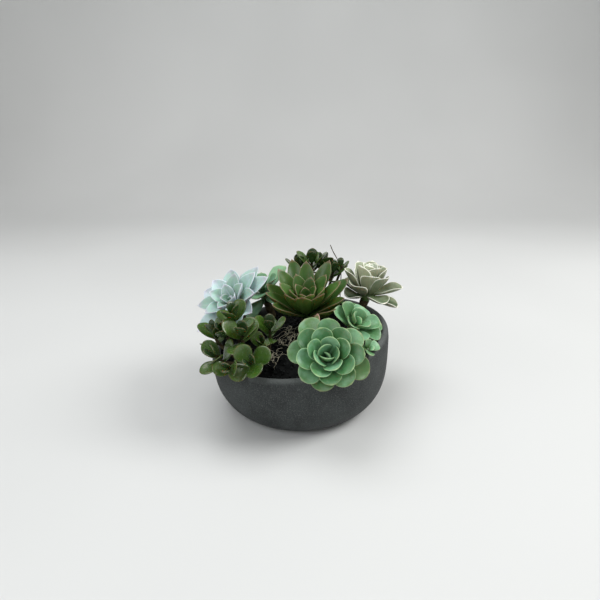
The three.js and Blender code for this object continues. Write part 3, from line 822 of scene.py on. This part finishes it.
def earth_material(name, dark, light, scale):
    """Soil or grit: crumbs of two tones with a rough bump."""
    material, tree, shader = new_material(name)
    shade = attribute(tree, "leaf_turn")
    tone = between(tree, noise(tree, scale, 5.0, 0.65), 0.4, 0.7)
    colour = blend(tree, plus(tree, times(tree, tone, 0.7), times(tree, shade, 0.3)), dark, light)
    tree.links.new(colour, shader.inputs["Base Color"])
    shader.inputs["Roughness"].default_value = 0.85
    shader.inputs["Specular IOR Level"].default_value = 0.15
    bump = add_node(tree, "ShaderNodeBump", {}, {
        "Height": noise(tree, scale * 1.6, 6.0, 0.7), "Strength": 0.8, "Distance": 0.0012,
    })
    tree.links.new(bump.outputs[0], shader.inputs["Normal"])
    return material


MATERIALS = {
    "silver_rosette": leaf_material("silver_leaf", {
        "Face": srgb(168, 208, 192), "Heart": srgb(124, 168, 146), "Foot": srgb(108, 156, 112),
        "Back": srgb(176, 188, 200), "Margin": srgb(220, 226, 238), "Tip": srgb(192, 182, 204),
        "Old": srgb(190, 196, 200), "Old Strength": 0.25,
        "Wax": srgb(206, 212, 230), "Bloom": 0.45,
        "Margin Width": 1.6, "Margin Strength": 0.7, "Tip Start": 0.8, "Tip Strength": 0.7,
        "Foot End": 0.7, "Mottle": 0.16, "Roughness": 0.55, "Fold Highlight": 0.6,
    }, Subsurface_Weight=0.05, Sheen_Weight=0.15),
    "green_rosette": leaf_material("green_leaf", {
        "Face": srgb(60, 98, 38), "Heart": srgb(42, 76, 24), "Foot": srgb(30, 58, 14),
        "Back": srgb(80, 108, 44), "Margin": srgb(142, 118, 96), "Tip": srgb(132, 88, 78),
        "Old": srgb(66, 90, 34), "Old Strength": 0.42,
        "Wax": srgb(106, 140, 74), "Bloom": 0.28,
        "Margin Width": 0.65, "Margin Strength": 0.8, "Tip Start": 0.92, "Tip Strength": 0.6,
        "Foot End": 0.65, "Mottle": 0.2, "Roughness": 0.36,
    }, Subsurface_Weight=0.03),
    "front_rosette": leaf_material("round_leaf", {
        "Face": srgb(80, 132, 84), "Heart": srgb(98, 148, 108), "Foot": srgb(54, 94, 40),
        "Back": srgb(112, 150, 100), "Margin": srgb(164, 200, 146), "Tip": srgb(140, 160, 110),
        "Old": srgb(92, 124, 58), "Old Strength": 0.52,
        "Wax": srgb(140, 184, 154), "Bloom": 0.5, "Blush": srgb(136, 104, 78), "Blush Strength": 0.65,
        "Margin Width": 1.1, "Margin Strength": 0.65, "Tip Start": 0.93, "Tip Strength": 0.4,
        "Foot End": 0.8, "Mottle": 0.26, "Roughness": 0.36,
    }, Subsurface_Weight=0.03),
    "right_rosette": leaf_material("light_leaf", {
        "Face": srgb(92, 142, 92), "Heart": srgb(130, 184, 138), "Foot": srgb(66, 108, 52),
        "Back": srgb(118, 160, 108), "Margin": srgb(170, 202, 152), "Tip": srgb(160, 154, 120),
        "Old": srgb(98, 140, 84), "Old Strength": 0.35,
        "Wax": srgb(140, 188, 152), "Bloom": 0.5, "Blush": srgb(150, 128, 96), "Blush Strength": 0.5,
        "Margin Width": 0.9, "Margin Strength": 0.55, "Tip Start": 0.93, "Tip Strength": 0.4,
        "Foot End": 0.7, "Mottle": 0.2, "Roughness": 0.38,
    }, Subsurface_Weight=0.03),
    "sage_rosette": leaf_material("sage_leaf", {
        "Face": srgb(172, 182, 152), "Heart": srgb(206, 216, 200), "Foot": srgb(84, 110, 50),
        "Back": srgb(166, 170, 142), "Margin": srgb(250, 250, 236), "Tip": srgb(200, 184, 164),
        "Old": srgb(34, 76, 12), "Old Start": 0.2, "Old Strength": 1.0,
        "Wax": srgb(212, 216, 198), "Bloom": 0.1,
        "Margin Width": 1.4, "Margin Strength": 0.95, "Tip Start": 0.95, "Tip Strength": 0.4,
        "Foot End": 0.6, "Mottle": 0.2, "Roughness": 0.5,
    }, Subsurface_Weight=0.03, Sheen_Weight=0.08),
    "back_rosette": leaf_material("mint_leaf", {
        "Face": srgb(104, 156, 116), "Heart": srgb(118, 168, 128), "Foot": srgb(60, 92, 50),
        "Back": srgb(108, 146, 104), "Margin": srgb(160, 190, 150), "Tip": srgb(150, 150, 110),
        "Old": srgb(60, 90, 50), "Old Strength": 0.7,
        "Wax": srgb(150, 190, 156), "Bloom": 0.4,
        "Margin Width": 1.0, "Margin Strength": 0.5, "Tip Start": 0.93, "Tip Strength": 0.4,
        "Foot End": 0.4, "Mottle": 0.12, "Roughness": 0.5,
    }, Subsurface_Weight=0.05),
    "pink_bud": leaf_material("bud_leaf", {
        "Face": srgb(132, 156, 98), "Heart": srgb(150, 170, 110), "Foot": srgb(100, 120, 66),
        "Back": srgb(170, 160, 130), "Margin": srgb(206, 160, 152), "Tip": srgb(196, 130, 130),
        "Old": srgb(150, 150, 110), "Old Strength": 0.3,
        "Margin Width": 1.6, "Margin Strength": 0.9, "Tip Start": 0.7, "Tip Strength": 0.8,
        "Foot End": 0.4, "Mottle": 0.1, "Roughness": 0.5,
    }, Subsurface_Weight=0.05),
    "jade": leaf_material("jade_leaf", {
        "Face": srgb(30, 60, 17), "Heart": srgb(66, 98, 32), "Foot": srgb(48, 80, 20),
        "Back": srgb(38, 66, 24), "Margin": srgb(88, 86, 44), "Tip": srgb(104, 84, 52),
        "Old": srgb(74, 78, 66), "Old Strength": 0.42,
        "Wax": srgb(76, 84, 72), "Bloom": 0.32,
        "Margin Width": 0.6, "Margin Strength": 0.6, "Tip Start": 0.95, "Tip Strength": 0.5,
        "Foot End": 0.35, "Mottle": 0.3, "Roughness": 0.25,
    }, Subsurface_Weight=0.02, Coat_Weight=0.2),
}
MATERIALS["offset_rosette"] = MATERIALS["right_rosette"]
STONE = stone_material()
# the soil's near-black is partly its own dark colour and partly painted shade, the deep shade under the
# leaves
SOIL = earth_material("soil_with_painted_shade", srgb(2, 4, 4), srgb(16, 19, 18), 260.0)
GRIT = earth_material("black_grit", srgb(4, 6, 6), srgb(28, 32, 32), 400.0)
BARK = earth_material("brown_bark", srgb(58, 50, 36), srgb(104, 94, 66), 180.0)
DRY = earth_material("dry_fibre", srgb(190, 184, 158), srgb(248, 243, 222), 300.0)

# ---------------------------------------------------------------- stage, light and camera

CAMERA_PLACE = (0.0, -0.6434, 0.394)
CAMERA_TILT = 69.35  # degrees from looking straight down
CAMERA_LENS = 29.7


def build_stage():
    """A pale floor that sweeps up into a backdrop: a quarter circle joins the two."""
    bend = np.linspace(0, math.pi / 2, 24)
    y = np.concatenate([[-3.0, 0.0], 1.3 + 0.9 * np.sin(bend), [2.2]])
    z = np.concatenate([[0.0, 0.0], 0.9 * (1 - np.cos(bend)), [3.2]])
    left = np.column_stack([np.full(len(y), -4.0), y, z])
    right = np.column_stack([np.full(len(y), 4.0), y, z])
    count = len(y)
    faces = [(i, i + count, i + count + 1, i + 1) for i in range(count - 1)]
    mesh = bpy.data.meshes.new("floor")
    mesh.from_pydata(np.vstack([left, right]).tolist(), [], faces)
    mesh.polygons.foreach_set("use_smooth", np.ones(len(mesh.polygons), bool))
    material, tree, shader = new_material("pale_floor")
    tone = between(tree, noise(tree, 1.2, 2.0), 0.3, 0.7)
    colour = blend(tree, tone, srgb(208, 210, 210), srgb(214, 216, 216))
    tree.links.new(colour, shader.inputs["Base Color"])
    shader.inputs["Roughness"].default_value = 0.9
    mesh.materials.append(material)
    floor = bpy.data.objects.new("floor", mesh)
    bpy.context.scene.collection.objects.link(floor)


def add_light(name, place, aim, size, power, colour=(1, 1, 1)):
    light = bpy.data.lights.new(name, "AREA")
    light.shape = "DISK"
    light.size = size
    light.energy = power
    light.color = colour
    lamp = bpy.data.objects.new(name, light)
    lamp.location = place
    direction = np.array(aim, float) - np.array(place, float)
    flat = math.hypot(direction[0], direction[1])
    lamp.rotation_euler = (math.atan2(flat, -direction[2]), 0, math.atan2(-direction[0], direction[1]))
    bpy.context.scene.collection.objects.link(lamp)


def light_scene():
    world = bpy.data.worlds.new("soft_sky")
    bpy.context.scene.world = world
    world.use_nodes = True
    sky = world.node_tree.nodes["Background"]
    sky.inputs["Color"].default_value = (1.0, 0.98, 0.95, 1.0)
    sky.inputs["Strength"].default_value = 0.36
    add_light("window", (1.5, -0.1, 1.5), (0, 0, 0.1), 1.1, 28, (1.0, 0.99, 0.97))
    add_light("ceiling", (-0.5, 0.3, 1.9), (0, 0, 0.1), 1.4, 16)
    add_light("fill", (-1.0, -1.5, 1.5), (0, 0, 0.1), 1.4, 15, (0.96, 0.98, 1.0))


def place_camera():
    data = bpy.data.cameras.new("camera")
    data.lens = CAMERA_LENS
    data.sensor_width = 36
    camera = bpy.data.objects.new("camera", data)
    camera.location = CAMERA_PLACE
    camera.rotation_euler = (math.radians(CAMERA_TILT), 0, 0)
    bpy.context.scene.collection.objects.link(camera)
    bpy.context.scene.camera = camera


# ---------------------------------------------------------------- assembly

bpy.context.scene.view_settings.view_transform = "Standard"
place_camera()
light_scene()
build_stage()
build_pot(STONE)
build_soil(SOIL)
build_gravel(GRIT)
build_fibres(DRY)
build_twig(BARK)
stem_parts = []
for plant_name, plant_facts in ROSETTES.items():
    stem_parts.append(build_rosette(plant_name, plant_facts, MATERIALS[plant_name]))
for bush_name, bush_facts in JADE_BUSHES.items():
    stem_parts += build_jade(bush_name, bush_facts, MATERIALS["jade"])
make_piece("plant_stems", stem_parts, BARK)
